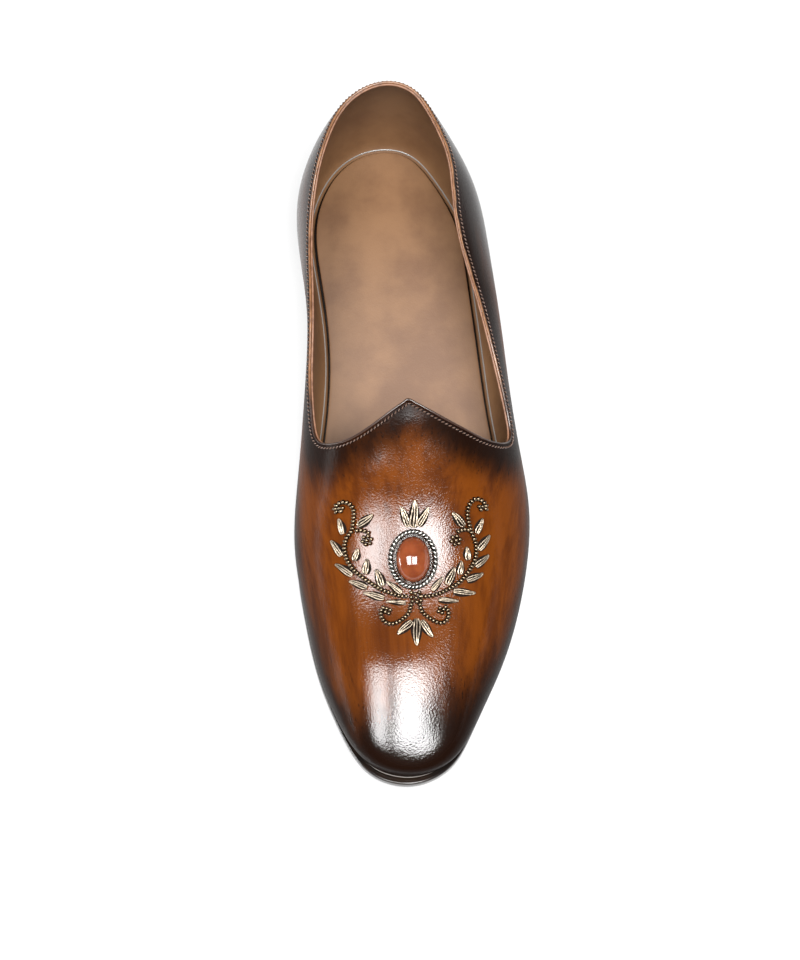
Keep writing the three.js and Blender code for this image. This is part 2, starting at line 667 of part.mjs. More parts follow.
// The ornament on the vamp
add('bezel', bezelGeometry(), DARK_SILVER);
add('stone', stoneGeometry(), CARNELIAN);
for (const side of ['inner', 'outer']) {
  const vine = solid(beadString(VINES[side], 44)).add(solid(beadString(HOOKS[side], 16)));
  add(`bead_vine_${side}`, geometryOf(vine), BRONZE_BEAD);
  add(`bead_scroll_${side}`, beadString(SCROLLS[side], 28), BRONZE_BEAD);
}
for (const [spray, leaves] of Object.entries(LEAVES)) {
  leaves.forEach((leaf, i) => {
    add(`leaf_${spray}_${i + 1}`, leafGeometry(leaf), PALE_WIRE);
  });
}

export default part;
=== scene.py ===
import math

import bmesh
import bpy
from mathutils import Matrix, Vector
from mathutils.bvhtree import BVHTree
from mathutils.geometry import interpolate_bezier
from mathutils.kdtree import KDTree


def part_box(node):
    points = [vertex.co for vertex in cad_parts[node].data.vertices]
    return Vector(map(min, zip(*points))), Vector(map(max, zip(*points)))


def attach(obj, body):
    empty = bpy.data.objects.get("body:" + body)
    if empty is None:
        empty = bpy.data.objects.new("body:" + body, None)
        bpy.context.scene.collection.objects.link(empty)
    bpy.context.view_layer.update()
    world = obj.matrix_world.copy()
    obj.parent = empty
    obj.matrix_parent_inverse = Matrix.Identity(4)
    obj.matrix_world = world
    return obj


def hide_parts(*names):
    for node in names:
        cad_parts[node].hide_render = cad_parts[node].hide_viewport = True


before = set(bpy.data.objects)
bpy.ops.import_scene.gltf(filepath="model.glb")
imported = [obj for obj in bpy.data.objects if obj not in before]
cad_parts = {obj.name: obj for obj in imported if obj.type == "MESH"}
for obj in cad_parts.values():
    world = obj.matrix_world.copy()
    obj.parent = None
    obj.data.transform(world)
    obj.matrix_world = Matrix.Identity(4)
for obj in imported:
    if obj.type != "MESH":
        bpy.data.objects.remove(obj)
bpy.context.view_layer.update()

# The heel's top piece. The real one is a slab of moulded rubber, nailed and glued under the last
# lift of the heel and ground flush with it. It is the only part of the heel that meets the floor.
MM = 0.001
WELD = 1e-5
EDGE_BREAK = 0.5 * MM
RUBBER_BLACK = (0.022, 0.021, 0.020, 1)


def body_of_node(node):
    """A copy of a piece of the frame with its corners merged, mostly in faces of four sides."""
    bm = bmesh.new()
    bm.from_mesh(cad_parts[node].data)
    bmesh.ops.remove_doubles(bm, verts=bm.verts, dist=WELD)
    bmesh.ops.join_triangles(
        bm, faces=bm.faces, angle_face_threshold=math.radians(60), angle_shape_threshold=math.radians(80)
    )
    return bm


def sharp_edges(bm, degrees):
    least = math.radians(degrees)
    return [edge for edge in bm.edges if edge.is_manifold and edge.calc_face_angle() > least]


def piece_from(bm, name, finishes, nodes=(), levels=0):
    """Makes a finished piece of a mesh, and puts it on the shoe in place of the frame's nodes."""
    mesh = bpy.data.meshes.new(name)
    bm.to_mesh(mesh)
    bm.free()
    for face in mesh.polygons:
        face.use_smooth = True
    for finish in finishes:
        mesh.materials.append(finish)
    piece = bpy.data.objects.new(name, mesh)
    bpy.context.scene.collection.objects.link(piece)
    if levels:
        rounding = piece.modifiers.new("rounding", "SUBSURF")
        rounding.levels = levels
        rounding.render_levels = levels
    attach(piece, "root")
    if nodes:
        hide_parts(*nodes)


def new_finish(name, colour, roughness, metallic=0.0, coat=0.0, coat_roughness=0.1):
    finish = bpy.data.materials.new(name)
    finish.use_nodes = True
    shader = finish.node_tree.nodes["Principled BSDF"]
    shader.inputs["Base Color"].default_value = colour
    shader.inputs["Roughness"].default_value = roughness
    shader.inputs["Metallic"].default_value = metallic
    shader.inputs["Coat Weight"].default_value = coat
    shader.inputs["Coat Roughness"].default_value = coat_roughness
    return finish, finish.node_tree, shader


def add_node(tree, kind, inputs, output=0, **settings):
    """Adds a node, joins or sets its inputs by name or number, and returns one of its outputs."""
    node = tree.nodes.new(kind)
    for key, value in settings.items():
        setattr(node, key, value)
    for key, value in inputs.items():
        if isinstance(value, bpy.types.NodeSocket):
            tree.links.new(value, node.inputs[key])
        else:
            node.inputs[key].default_value = value
    return node.outputs[output]


def object_place(tree, stretch=(1, 1, 1)):
    place = add_node(tree, "ShaderNodeTexCoord", {}, "Object")
    return add_node(tree, "ShaderNodeMapping", {"Vector": place, "Scale": stretch})


def noise(tree, place, scale, detail=2.0, roughness=0.5):
    inputs = {"Vector": place, "Scale": scale, "Detail": detail, "Roughness": roughness}
    return add_node(tree, "ShaderNodeTexNoise", inputs)


def fade(tree, value, low, high, to_low=0.0, to_high=1.0):
    """Maps a value to a range, smoothly and held at both ends."""
    inputs = {"Value": value, 1: low, 2: high, 3: to_low, 4: to_high}
    return add_node(tree, "ShaderNodeMapRange", inputs, interpolation_type="SMOOTHSTEP")


def blend_colours(tree, share, first, second):
    inputs = {0: share, 6: first, 7: second}
    return add_node(tree, "ShaderNodeMix", inputs, 2, data_type="RGBA")


def maths(tree, operation, first, second):
    return add_node(tree, "ShaderNodeMath", {0: first, 1: second}, operation=operation)


def add_bump(tree, shader, height, distance, under=None):
    """Puts relief on a finish and on its polish, over the relief that is given as under."""
    inputs = {"Height": height, "Distance": distance, "Strength": 1.0}
    if under is not None:
        inputs["Normal"] = under
    bump = add_node(tree, "ShaderNodeBump", inputs)
    tree.links.new(bump, shader.inputs["Normal"])
    tree.links.new(bump, shader.inputs["Coat Normal"])
    return bump


rubber, tree, shader = new_finish("heel_rubber", RUBBER_BLACK, 0.62)
scuffs = noise(tree, object_place(tree), 260.0, 4.0, 0.65)
tree.links.new(fade(tree, scuffs, 0.35, 0.7, 0.5, 0.75), shader.inputs["Roughness"])
add_bump(tree, shader, noise(tree, object_place(tree), 1400.0, 3.0), 0.06 * MM)

bm = body_of_node("top_piece")
bmesh.ops.bevel(
    bm, geom=sharp_edges(bm, 40), offset=EDGE_BREAK, segments=2, profile=0.5, affect="EDGES", material=-1
)
piece_from(bm, "heel_tread", [rubber], ["top_piece"], levels=2)

# The heel's lifts. The real ones are layers of sole leather, glued and nailed on each other, then
# trimmed, stained and polished with hot wax. Fine lines show where one lift meets the next.
LIFTS = 3
LIFT_GROOVE = 0.25 * MM
LIFT_BREAK = 0.3 * MM
EDGE_BROWN = (0.011, 0.0055, 0.003, 1)
EDGE_BLACK = (0.004, 0.003, 0.0028, 1)


def edge_finish(name, line_scale):
    """Stained and waxed edges of sole leather, with the faint lines of its layers."""
    finish, tree, shader = new_finish(name, EDGE_BROWN, 0.3, coat=0.5, coat_roughness=0.18)
    layers = noise(tree, object_place(tree, (40, 40, line_scale)), 1.0, 3.0)
    stain = noise(tree, object_place(tree), 70.0, 4.0, 0.6)
    colour = blend_colours(tree, fade(tree, stain, 0.3, 0.65), EDGE_BROWN, EDGE_BLACK)
    tree.links.new(colour, shader.inputs["Base Color"])
    fibres = add_bump(tree, shader, layers, 0.05 * MM)
    add_bump(tree, shader, noise(tree, object_place(tree), 1800.0, 2.0), 0.02 * MM, under=fibres)
    return finish


waxed_edge = edge_finish("waxed_edge", 900)

bm = body_of_node("heel_stack")
low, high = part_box("heel_stack")
for lift in range(1, LIFTS):
    height = low.z + (high.z - low.z) * lift / LIFTS
    cut = bmesh.ops.bisect_plane(
        bm, geom=bm.verts[:] + bm.edges[:] + bm.faces[:], plane_co=(0, 0, height), plane_no=(0, 0, 1)
    )
    seam = [item for item in cut["geom_cut"] if isinstance(item, bmesh.types.BMEdge)]
    groove = bmesh.ops.bevel(
        bm, geom=seam, offset=LIFT_GROOVE, segments=2, profile=0.5, affect="EDGES", material=-1
    )
    for vert in groove["verts"]:
        if abs(vert.co.z - height) < 0.02 * MM:
            vert.co -= vert.normal * LIFT_GROOVE
bmesh.ops.bevel(
    bm, geom=sharp_edges(bm, 60), offset=LIFT_BREAK, segments=2, profile=0.5, affect="EDGES", material=-1
)
piece_from(bm, "heel_lifts", [waxed_edge], ["heel_stack"], levels=2)

# The outsole. The real one is a single sole of bark-tanned leather, stitched to the insole from
# below in a closed channel. Its edge is trimmed close, stained nearly black and ironed with wax.
SOLE_BEVEL = 0.7 * MM
sole_edge = edge_finish("sole_edge", 1100)

bm = body_of_node("outsole")
bmesh.ops.bevel(
    bm, geom=sharp_edges(bm, 40), offset=SOLE_BEVEL, segments=2, profile=0.5, affect="EDGES", material=-1
)
piece_from(bm, "sole", [sole_edge], ["outsole"], levels=2)

# The insole. The real one is firm leather covered by a sock of the lining's thin tan leather,
# glued down smooth from heel to toe.
TAN = (0.170, 0.086, 0.038, 1)
TAN_SHADE = (0.120, 0.056, 0.024, 1)


def lining_finish(name):
    finish, tree, shader = new_finish(name, TAN, 0.5)
    cloudy = noise(tree, object_place(tree), 38.0, 4.0, 0.6)
    colour = blend_colours(tree, fade(tree, cloudy, 0.35, 0.7), TAN, TAN_SHADE)
    tree.links.new(colour, shader.inputs["Base Color"])
    pores = noise(tree, object_place(tree), 1500.0, 3.0, 0.6)
    add_bump(tree, shader, pores, 0.05 * MM)
    return finish


sock_leather = lining_finish("sock_leather")
bm = body_of_node("insole")
bmesh.ops.bevel(
    bm, geom=sharp_edges(bm, 40), offset=EDGE_BREAK, segments=2, profile=0.5, affect="EDGES", material=-1
)
piece_from(bm, "insole_sock", [sock_leather], ["insole"], levels=2)

# The upper. The real one is cut whole from one calf skin, lined with thin tan leather, lasted and
# burnished by hand: warm brown on the vamp, nearly black at the toe, the throat and the edges.
ROWS_ABOVE_GIRTH = 13
WALL_ROWS = 18
HONEY = (0.106, 0.0258, 0.0022, 1)
CHESTNUT = (0.058, 0.0130, 0.0014, 1)
UMBER = (0.0066, 0.0023, 0.0011, 1)
# Where the umber stain starts and where it is full: along the shoe, or from the collar or the sole.
TOE_STAIN = (-212 * MM, -262 * MM)
HEEL_STAIN = (-90 * MM, -20 * MM)
COLLAR_STAIN = (26 * MM, 2 * MM)
SOLE_STAIN = (36 * MM, 9 * MM)
# A second, fainter stain on the outer half of the throat: across the shoe, then along it.
OUTER_STAIN = (4 * MM, 20 * MM)
OUTER_STAIN_ALONG = (-166 * MM, -140 * MM)
# The polish, from 0 to 1. It is full where the leather lies flat and dull by the collar and on the
# steep walls, except at the heel.
STEEP, FLAT = 0.72, 0.95
DULL_BY_COLLAR = (2 * MM, 20 * MM)
WALL_POLISH = 0.04
HEEL_POLISH = 0.55
HEEL_POLISH_ALONG = (-70 * MM, -20 * MM)


def squared_grid(node):
    """A copy of a piece that was woven as one grid, with the diagonal of each square taken out."""
    bm = bmesh.new()
    bm.from_mesh(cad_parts[node].data)
    bmesh.ops.remove_doubles(bm, verts=bm.verts, dist=WELD)
    first = max(bm.faces, key=lambda face: face.calc_center_median().y)
    longest = max(first.edges, key=lambda edge: edge.calc_length())
    corner = {first: next(vert for vert in first.verts if vert not in longest.verts)}
    waiting = [first]
    diagonals = set()
    while waiting:
        face = waiting.pop()
        for edge in face.edges:
            other = next(near for near in edge.link_faces if near is not face)
            if corner[face] not in edge.verts:
                diagonals.add(edge)
                found = next(vert for vert in other.verts if vert not in edge.verts)
            else:
                found = edge.other_vert(corner[face])
            if other not in corner:
                corner[other] = found
                waiting.append(other)
    bmesh.ops.dissolve_edges(bm, edges=list(diagonals), use_verts=False)
    return bm


def straight_on(edge, vert):
    """The next corner and edge of a line that goes straight through the grid."""
    corner = edge.other_vert(vert)
    beside = set(edge.link_faces)
    return corner, next(near for near in corner.link_edges if not beside & set(near.link_faces))


def line_through(start, edge):
    line = [start]
    corner, edge = straight_on(edge, start)
    while corner is not start:
        line.append(corner)
        corner, edge = straight_on(edge, corner)
    return line


def limit_point(vert, creased):
    """Where a corner of the grid ends up once the surface is rounded."""
    hard = [edge for edge in vert.link_edges if edge in creased]
    if hard:
        return (vert.co * 4 + sum((edge.other_vert(vert).co for edge in hard), Vector())) / 6
    beside = {edge.other_vert(vert) for edge in vert.link_edges}
    across = {far for face in vert.link_faces for far in face.verts} - beside - {vert}
    weight = vert.co * 16
    weight += sum((near.co for near in beside), Vector()) * 4
    weight += sum((far.co for far in across), Vector())
    return weight / 36


bm = squared_grid("upper")
crease = bm.edges.layers.float.new("crease_edge")
heel_back = max(bm.verts, key=lambda vert: vert.co.y)
upward = max(heel_back.link_edges, key=lambda edge: edge.other_vert(heel_back).co.z)
column = line_through(heel_back, upward)
rings = []
for vert in column:
    sideways = [edge for edge in vert.link_edges if edge.other_vert(vert) not in column]
    rings.append(line_through(vert, min(sideways, key=lambda edge: edge.other_vert(vert).co.x)))
collar_ring = rings[ROWS_ABOVE_GIRTH]
lining_top = rings[ROWS_ABOVE_GIRTH + 1]
lining_foot = rings[ROWS_ABOVE_GIRTH + WALL_ROWS]
upper_foot = rings[ROWS_ABOVE_GIRTH + WALL_ROWS + 1]
lining_rings = rings[ROWS_ABOVE_GIRTH + 1:ROWS_ABOVE_GIRTH + 1 + WALL_ROWS]
lining_verts = {vert for ring in lining_rings for vert in ring}
for face in bm.faces:
    face.material_index = 1 if all(vert in lining_verts for vert in face.verts) else 0
creased = set()
for ring in (collar_ring, lining_top, lining_foot, upper_foot):
    members = set(ring)
    creased |= {edge for vert in ring for edge in vert.link_edges if edge.other_vert(vert) in members}
for edge in creased:
    edge[crease] = 1.0
# On the quarters the rows of the grid crowd together above the girth. They are spread out first,
# because a rounded surface folds over where a wide gap meets a narrow one.
GAP_RATIO = 1.6
SPREAD_ROUNDS = 400


def spread_out(line):
    """Moves the corners of a line along it until no gap is much wider than the one beside it."""
    spots = [vert.co.copy() for vert in line]
    gaps = [(end - start).length for start, end in zip(spots, spots[1:])]
    marks = [sum(gaps[:i]) for i in range(len(spots))]
    slopes = [(end - start) / gap for start, end, gap in zip(spots, spots[1:], gaps)]
    leans = [slopes[0]]
    for was, slope, behind, ahead in zip(slopes, slopes[1:], gaps, gaps[1:]):
        leans.append((was * ahead + slope * behind) / (behind + ahead))
    leans.append(slopes[-1])
    places = list(marks)
    for _ in range(SPREAD_ROUNDS):
        for i in range(1, len(places) - 1):
            behind, ahead = places[i] - places[i - 1], places[i + 1] - places[i]
            if max(behind, ahead) > GAP_RATIO * min(behind, ahead):
                places[i] += 0.2 * (ahead - behind)
    for vert, place in zip(line[1:-1], places[1:-1]):
        k = max(i for i in range(len(gaps)) if marks[i] <= place)
        third = gaps[k] / 3
        handles = (spots[k] + leans[k] * third, spots[k + 1] - leans[k + 1] * third)
        share = (place - marks[k]) / gaps[k]
        left = [a.lerp(b, share) for a, b in zip((spots[k], *handles), (*handles, spots[k + 1]))]
        left = [a.lerp(b, share) for a, b in zip(left, left[1:])]
        vert.co = left[0].lerp(left[1], share)


upper_rings = rings[ROWS_ABOVE_GIRTH + WALL_ROWS + 1:] + rings[:ROWS_ABOVE_GIRTH + 1]
for wall in (upper_rings, lining_rings):
    for line in zip(*wall):
        spread_out(line)
# The corners are moved out, so that the rounded surface passes through the places they had.
HOLD_ROUNDS = 3
wanted = {vert: vert.co.copy() for vert in bm.verts}
for _ in range(HOLD_ROUNDS):
    moved = {vert: vert.co + wanted[vert] - limit_point(vert, creased) for vert in bm.verts}
    for vert, place in moved.items():
        vert.co = place
collar_line = [wanted[vert] for vert in collar_ring]
lining_line = [wanted[vert] for vert in lining_top]
foot_line = [wanted[vert] for vert in upper_foot]


def closed_curve(points, steps):
    """Points close together on a smooth closed curve through the points given."""
    count = len(points)
    curve = []
    for i in range(count):
        before, start, end, after = (points[(i + k) % count] for k in (-1, 0, 1, 2))
        handles = (start + (end - before) / 6, end - (after - start) / 6)
        curve += interpolate_bezier(start, *handles, end, steps + 1)[:-1]
    return curve


collar_curve = closed_curve(collar_line, 8)
foot_curve = closed_curve(foot_line, 4)


def near_tree(points):
    tree = KDTree(len(points))
    for i, point in enumerate(points):
        tree.insert(point, i)
    tree.balance()
    return tree


draft = bpy.data.meshes.new("upper_draft")
bm.to_mesh(draft)
bm.free()
draft_object = bpy.data.objects.new("upper_draft", draft)
bpy.context.scene.collection.objects.link(draft_object)
rounding = draft_object.modifiers.new("rounding", "SUBSURF")
rounding.levels = 2
rounding.render_levels = 2
depsgraph = bpy.context.evaluated_depsgraph_get()
dense = bpy.data.meshes.new_from_object(draft_object.evaluated_get(depsgraph))
bpy.data.objects.remove(draft_object)

bm = bmesh.new()
bm.from_mesh(dense)
collar_near = near_tree(collar_curve)
foot_near = near_tree(foot_curve)
from_collar = bm.verts.layers.float.new("from_collar")
from_sole = bm.verts.layers.float.new("from_sole")
polish = bm.verts.layers.float.new("polish")


def eased(value, low, high):
    share = min(1.0, max(0.0, (value - low) / (high - low)))
    return share * share * (3 - 2 * share)


# from and to: the two ends of a soft fold on the vamp, seen from above. width: half of it.
# height: above the leather, or below it where it is a trough. All in millimetres.
FOLDS_END = -110 * MM
SOFT_FOLDS = [
    ((-20, -147), (-11, -145), 5.0, 0.36),
    ((-16, -138), (12, -137), 8.0, -0.62),
    ((12, -141), (26, -148), 6.0, 0.22),
    ((14, -134), (30, -139), 5.0, -0.22),
    ((-30, -160), (-33, -185), 5.0, -0.16),
    ((28, -160), (33, -182), 5.0, -0.14),
    ((-12, -224), (-12, -246), 14.0, 1.5),
    ((0, -222), (0, -244), 10.0, 0.5),
]


def fold_rise(x, y):
    rise = 0.0
    for start, end, width, height in SOFT_FOLDS:
        start, end, here = Vector(start), Vector(end), Vector((x, y)) / MM
        share = min(1.0, max(0.0, (here - start).dot(end - start) / (end - start).length_squared))
        rise += height * math.exp(-((here - start.lerp(end, share)).length / width) ** 2)
    return rise * MM


bm.normal_update()
for vert in bm.verts:
    vert[from_collar] = collar_near.find(vert.co)[2]
    vert[from_sole] = foot_near.find(vert.co)[2]
    level = eased(vert.normal.z, STEEP, FLAT) * eased(vert[from_collar], *DULL_BY_COLLAR)
    at_heel = HEEL_POLISH * eased(vert.co.y, *HEEL_POLISH_ALONG)
    vert[polish] = max(WALL_POLISH + (1 - WALL_POLISH) * level, at_heel)
    if vert.normal.z > 0.3 and vert.co.y < FOLDS_END:
        vert.co += vert.normal * fold_rise(vert.co.x, vert.co.y)
vamp = BVHTree.FromBMesh(bm)

calf, tree, shader = new_finish("burnished_calf", CHESTNUT, 0.4, coat=1.0, coat_roughness=0.105)
shader.inputs["Specular IOR Level"].default_value = 0.03
polish = add_node(tree, "ShaderNodeAttribute", {}, "Fac", attribute_name="polish")
tree.links.new(polish, shader.inputs["Coat Weight"])
collar_gap = add_node(tree, "ShaderNodeAttribute", {}, "Fac", attribute_name="from_collar")
sole_gap = add_node(tree, "ShaderNodeAttribute", {}, "Fac", attribute_name="from_sole")
across = add_node(tree, "ShaderNodeSeparateXYZ", {"Vector": object_place(tree)}, "X")
along = add_node(tree, "ShaderNodeSeparateXYZ", {"Vector": object_place(tree)}, "Y")
streaks = noise(tree, object_place(tree, (300, 7, 300)), 1.0, 4.0, 0.6)
bands = noise(tree, object_place(tree, (75, 6, 75)), 1.0, 3.0, 0.5)
clouds = noise(tree, object_place(tree, (1, 0.4, 1)), 30.0, 3.0, 0.5)
scratches = noise(tree, object_place(tree, (1100, 10, 1100)), 1.0, 3.0, 0.6)
patina = maths(tree, "ADD", maths(tree, "MULTIPLY", streaks, 0.45), maths(tree, "MULTIPLY", bands, 0.55))
warm = blend_colours(tree, fade(tree, patina, 0.36, 0.60), CHESTNUT, HONEY)
toe_dark = fade(tree, along, *TOE_STAIN)
heel_dark = fade(tree, along, *HEEL_STAIN, 0.0, 0.7)
throat_dark = fade(tree, collar_gap, *COLLAR_STAIN, 0.0, 0.85)
foot_dark = fade(tree, sole_gap, *SOLE_STAIN, 0.0, 0.95)
burnish = maths(tree, "MAXIMUM", toe_dark, maths(tree, "MAXIMUM", throat_dark, foot_dark))
burnish = maths(tree, "MAXIMUM", burnish, heel_dark)
outer_dark = fade(tree, across, *OUTER_STAIN, 0.0, 0.2)
outer_dark = maths(tree, "MULTIPLY", outer_dark, fade(tree, along, *OUTER_STAIN_ALONG))
uneven = maths(tree, "ADD", burnish, outer_dark)
uneven = maths(tree, "ADD", uneven, fade(tree, clouds, 0.35, 0.7, -0.12, 0.16))
uneven = maths(tree, "ADD", uneven, fade(tree, patina, 0.35, 0.62, 0.06, -0.04))
uneven = maths(tree, "ADD", uneven, fade(tree, scratches, 0.40, 0.32, 0.0, 0.2))
dark = fade(tree, uneven, 0.02, 0.95)
tree.links.new(blend_colours(tree, dark, warm, UMBER), shader.inputs["Base Color"])
# Relief: pores and cells of about half a millimetre, fine wrinkles, then broad unevenness.
grain = noise(tree, object_place(tree), 2100.0, 3.0, 0.6)
cells = add_node(
    tree, "ShaderNodeTexVoronoi", {"Vector": object_place(tree), "Scale": 1300.0}, "Distance"
)
fine = add_bump(tree, shader, maths(tree, "ADD", grain, cells), 0.036 * MM)
fine = add_bump(tree, shader, noise(tree, object_place(tree), 760.0, 2.0), 0.022 * MM, under=fine)
add_bump(tree, shader, noise(tree, object_place(tree), 110.0, 2.0), 0.08 * MM, under=fine)
tree.links.new(fade(tree, grain, 0.3, 0.7, 0.35, 0.5), shader.inputs["Roughness"])
lining = lining_finish("lining_leather")

piece_from(bm, "upper_shell", [calf, lining], ["upper"])

# The collar's edge. On the real shoe the upper's leather is turned over the edge and rubbed down,
# the lining is trimmed flush beside it, and a row of stitches holds both just below the edge.
FOLD_RADIUS = 0.56 * MM
LINING_EDGE_RADIUS = 0.5 * MM
EDGE_STEP = 0.52 * MM
STITCH_BELOW = 1.75 * MM
STITCH_PITCH = 1.8 * MM
STITCH_LENGTH = 1.2 * MM
STITCH_SLANT = 0.55
THREAD_RADIUS = 0.27 * MM
CHANNEL_RADIUS = 0.62 * MM
RUBBED_DARK = (0.105, 0.040, 0.012, 1)
RUBBED_LIGHT = (0.20, 0.085, 0.030, 1)
THROAT_BROWN = (0.030, 0.012, 0.006, 1)
THROAT_ALONG = (-96 * MM, -112 * MM)
CUT_DARK = (0.13, 0.058, 0.030, 1)
CUT_LIGHT = (0.23, 0.112, 0.064, 1)
THREAD_BROWN = (0.100, 0.054, 0.036, 1)
CHANNEL_PAINTED_SHADE = (0.004, 0.002, 0.0015, 1)


def strand_mesh(lines, radius, sides=8, closed=False):
    """Round strands laid along lines of points, as one mesh."""
    curve = bpy.data.curves.new("strand", "CURVE")
    curve.dimensions = "3D"
    curve.bevel_depth = radius
    curve.bevel_resolution = max(0, sides // 4 - 1)
    curve.use_fill_caps = not closed
    curve.twist_mode = "MINIMUM"
    for line in lines:
        spline = curve.splines.new("POLY")
        spline.points.add(len(line) - 1)
        spline.use_cyclic_u = closed
        for i, point in enumerate(line):
            spline.points[i].co = (*point, 1)
    holder = bpy.data.objects.new("strand", curve)
    mesh = bpy.data.meshes.new_from_object(holder)
    bpy.data.objects.remove(holder)
    bpy.data.curves.remove(curve)
    bm = bmesh.new()
    bm.from_mesh(mesh)
    bpy.data.meshes.remove(mesh)
    bmesh.ops.recalc_face_normals(bm, faces=bm.faces)
    return bm


def spaced(points, pitch, closed=False):
    """Points at an even pitch along a line of points, each with the line's direction there."""
    ring = points + points[:1] if closed else points
    total = sum((b - a).length for a, b in zip(ring, ring[1:]))
    count = max(1, round(total / pitch))
    step = total / count
    found = []
    walked = 0.0
    for a, b in zip(ring, ring[1:]):
        length = (b - a).length
        while len(found) * step < walked + length - 1e-9 and len(found) < count:
            share = (len(found) * step - walked) / length
            found.append((a.lerp(b, share), (b - a).normalized()))
        walked += length
    return found


edge_calf, tree, shader = new_finish("turned_edge", CHESTNUT, 0.38, coat=0.5, coat_roughness=0.2)
rubbed = noise(tree, object_place(tree), 240.0, 4.0, 0.6)
lit_edge = blend_colours(tree, fade(tree, rubbed, 0.3, 0.65), RUBBED_DARK, RUBBED_LIGHT)
along = add_node(tree, "ShaderNodeSeparateXYZ", {"Vector": object_place(tree)}, "Y")
throat = fade(tree, along, *THROAT_ALONG)
tree.links.new(blend_colours(tree, throat, lit_edge, THROAT_BROWN), shader.inputs["Base Color"])
add_bump(tree, shader, noise(tree, object_place(tree), 1900.0, 3.0), 0.03 * MM)
cut_edge, tree, shader = new_finish("cut_lining_edge", TAN, 0.5)
rubbed = noise(tree, object_place(tree), 300.0, 4.0, 0.6)
cut_colour = blend_colours(tree, fade(tree, rubbed, 0.3, 0.65), CUT_DARK, CUT_LIGHT)
tree.links.new(cut_colour, shader.inputs["Base Color"])
add_bump(tree, shader, noise(tree, object_place(tree), 1900.0, 3.0), 0.04 * MM)
thread, tree, shader = new_finish("waxed_thread", THREAD_BROWN, 0.35, coat=0.4)
twist = add_node(
    tree, "ShaderNodeTexWave", {"Vector": object_place(tree), "Scale": 900.0, "Distortion": 2.0}, "Fac"
)
add_bump(tree, shader, twist, 0.04 * MM)
# A near-black strand half sunk under the stitches: painted shade of the stitch groove and needle holes.
channel_shade_finish, tree, shader = new_finish("stitch_channel_painted_shade", CHANNEL_PAINTED_SHADE, 0.8)
shader.inputs["Specular IOR Level"].default_value = 0.1
add_bump(tree, shader, noise(tree, object_place(tree), 1900.0, 3.0), 0.04 * MM)

lining_curve = closed_curve(lining_line, 8)
count = len(collar_curve)
over_wall = [(inside - outside).normalized() for outside, inside in zip(collar_curve, lining_curve)]
way = [(collar_curve[(i + 1) % count] - collar_curve[i - 1]).normalized() for i in range(count)]
down_wall = [way[i].cross(over_wall[i]).normalized() for i in range(count)]
heel_top = max(range(count), key=lambda i: collar_curve[i].y)
if down_wall[heel_top].z > 0:
    down_wall = [-down for down in down_wall]
fold_line = []
trim_line = []
for outside, inside, over, down in zip(collar_curve, lining_curve, over_wall, down_wall):
    fold_line.append(outside + over * EDGE_STEP + down * 0.18 * MM)
    trim_line.append(inside - over * EDGE_STEP * 0.9 + down * 0.22 * MM)
piece_from(strand_mesh([fold_line], FOLD_RADIUS, 12, True), "collar_fold", [edge_calf])
lining_edge = strand_mesh([trim_line], LINING_EDGE_RADIUS, 12, True)
piece_from(lining_edge, "collar_lining_edge", [cut_edge])

below_edge = [spot + down * STITCH_BELOW for spot, down in zip(collar_curve, down_wall)]
stitch_row = []
stitch_up = []
for spot in below_edge:
    place, normal, _, _ = vamp.find_nearest(spot)
    stitch_row.append(place)
    stitch_up.append(normal)
# The strand is sunk under the row of stitches, as painted shade of the groove.
channel_line = [place - up * CHANNEL_RADIUS * 0.72 for place, up in zip(stitch_row, stitch_up)]
channel_mesh = strand_mesh([channel_line], CHANNEL_RADIUS, 8, True)
piece_from(channel_mesh, "stitch_channel_painted_shade", [channel_shade_finish])
row_tree = near_tree(stitch_row)
stitches = []
for spot, direction in spaced(stitch_row, STITCH_PITCH, True):
    up = stitch_up[row_tree.find(spot)[1]]
    lean = (direction + up.cross(direction) * STITCH_SLANT).normalized()
    stitch = []
    for share in (-1, -0.6, 0, 0.6, 1):
        rise = THREAD_RADIUS * (1.2 - 2.0 * share * share)
        stitch.append(spot + lean * share * STITCH_LENGTH / 2 + up * rise)
    stitches.append(stitch)
piece_from(strand_mesh(stitches, THREAD_RADIUS, 8), "collar_stitches", [thread])

# The feather edge. Where the upper turns under to meet the sole, a thin glossy grey strand runs all
# the way round. Its pale grey is a painted reflection of the floor on the leather's lower rim.
FEATHER_ABOVE = 1.0 * MM
FEATHER_RADIUS = 0.42 * MM
FEATHER_REFLECTION_GREY = (0.200, 0.180, 0.165, 1)
reflection_finish, tree, shader = new_finish("feather_painted_reflection", FEATHER_REFLECTION_GREY, 0.3, coat=1.0, coat_roughness=0.15)
add_bump(tree, shader, noise(tree, object_place(tree), 900.0), 0.03 * MM)
feather_line = []
for spot in foot_curve:
    place, normal, _, _ = vamp.find_nearest(spot + Vector((0, 0, FEATHER_ABOVE)))
    feather_line.append(place - normal * FEATHER_RADIUS * 0.35)
feather_mesh = strand_mesh([feather_line], FEATHER_RADIUS, 12, True)
piece_from(feather_mesh, "feather_reflection_strand", [reflection_finish])

# The ornament is laid out flat, in millimetres from the middle of the stone: u to the outer side
# of the foot and v towards the heel. The chart lies on the plane that touches the vamp there.
STONE_SEAT = (1.4 * MM, -180.2 * MM)
CHART_TURN = math.radians(2)
PROBE = 1.5 * MM
OVER_SHOE = 200 * MM
OVER_CHART = 30 * MM


def leather_at(x, y):
    return vamp.ray_cast(Vector((x, y, OVER_SHOE)), Vector((0, 0, -1)))[0]


def leather_normal(x, y):
    across = leather_at(x + PROBE, y) - leather_at(x - PROBE, y)
    back = leather_at(x, y + PROBE) - leather_at(x, y - PROBE)
    return across.cross(back).normalized(), back.normalized()


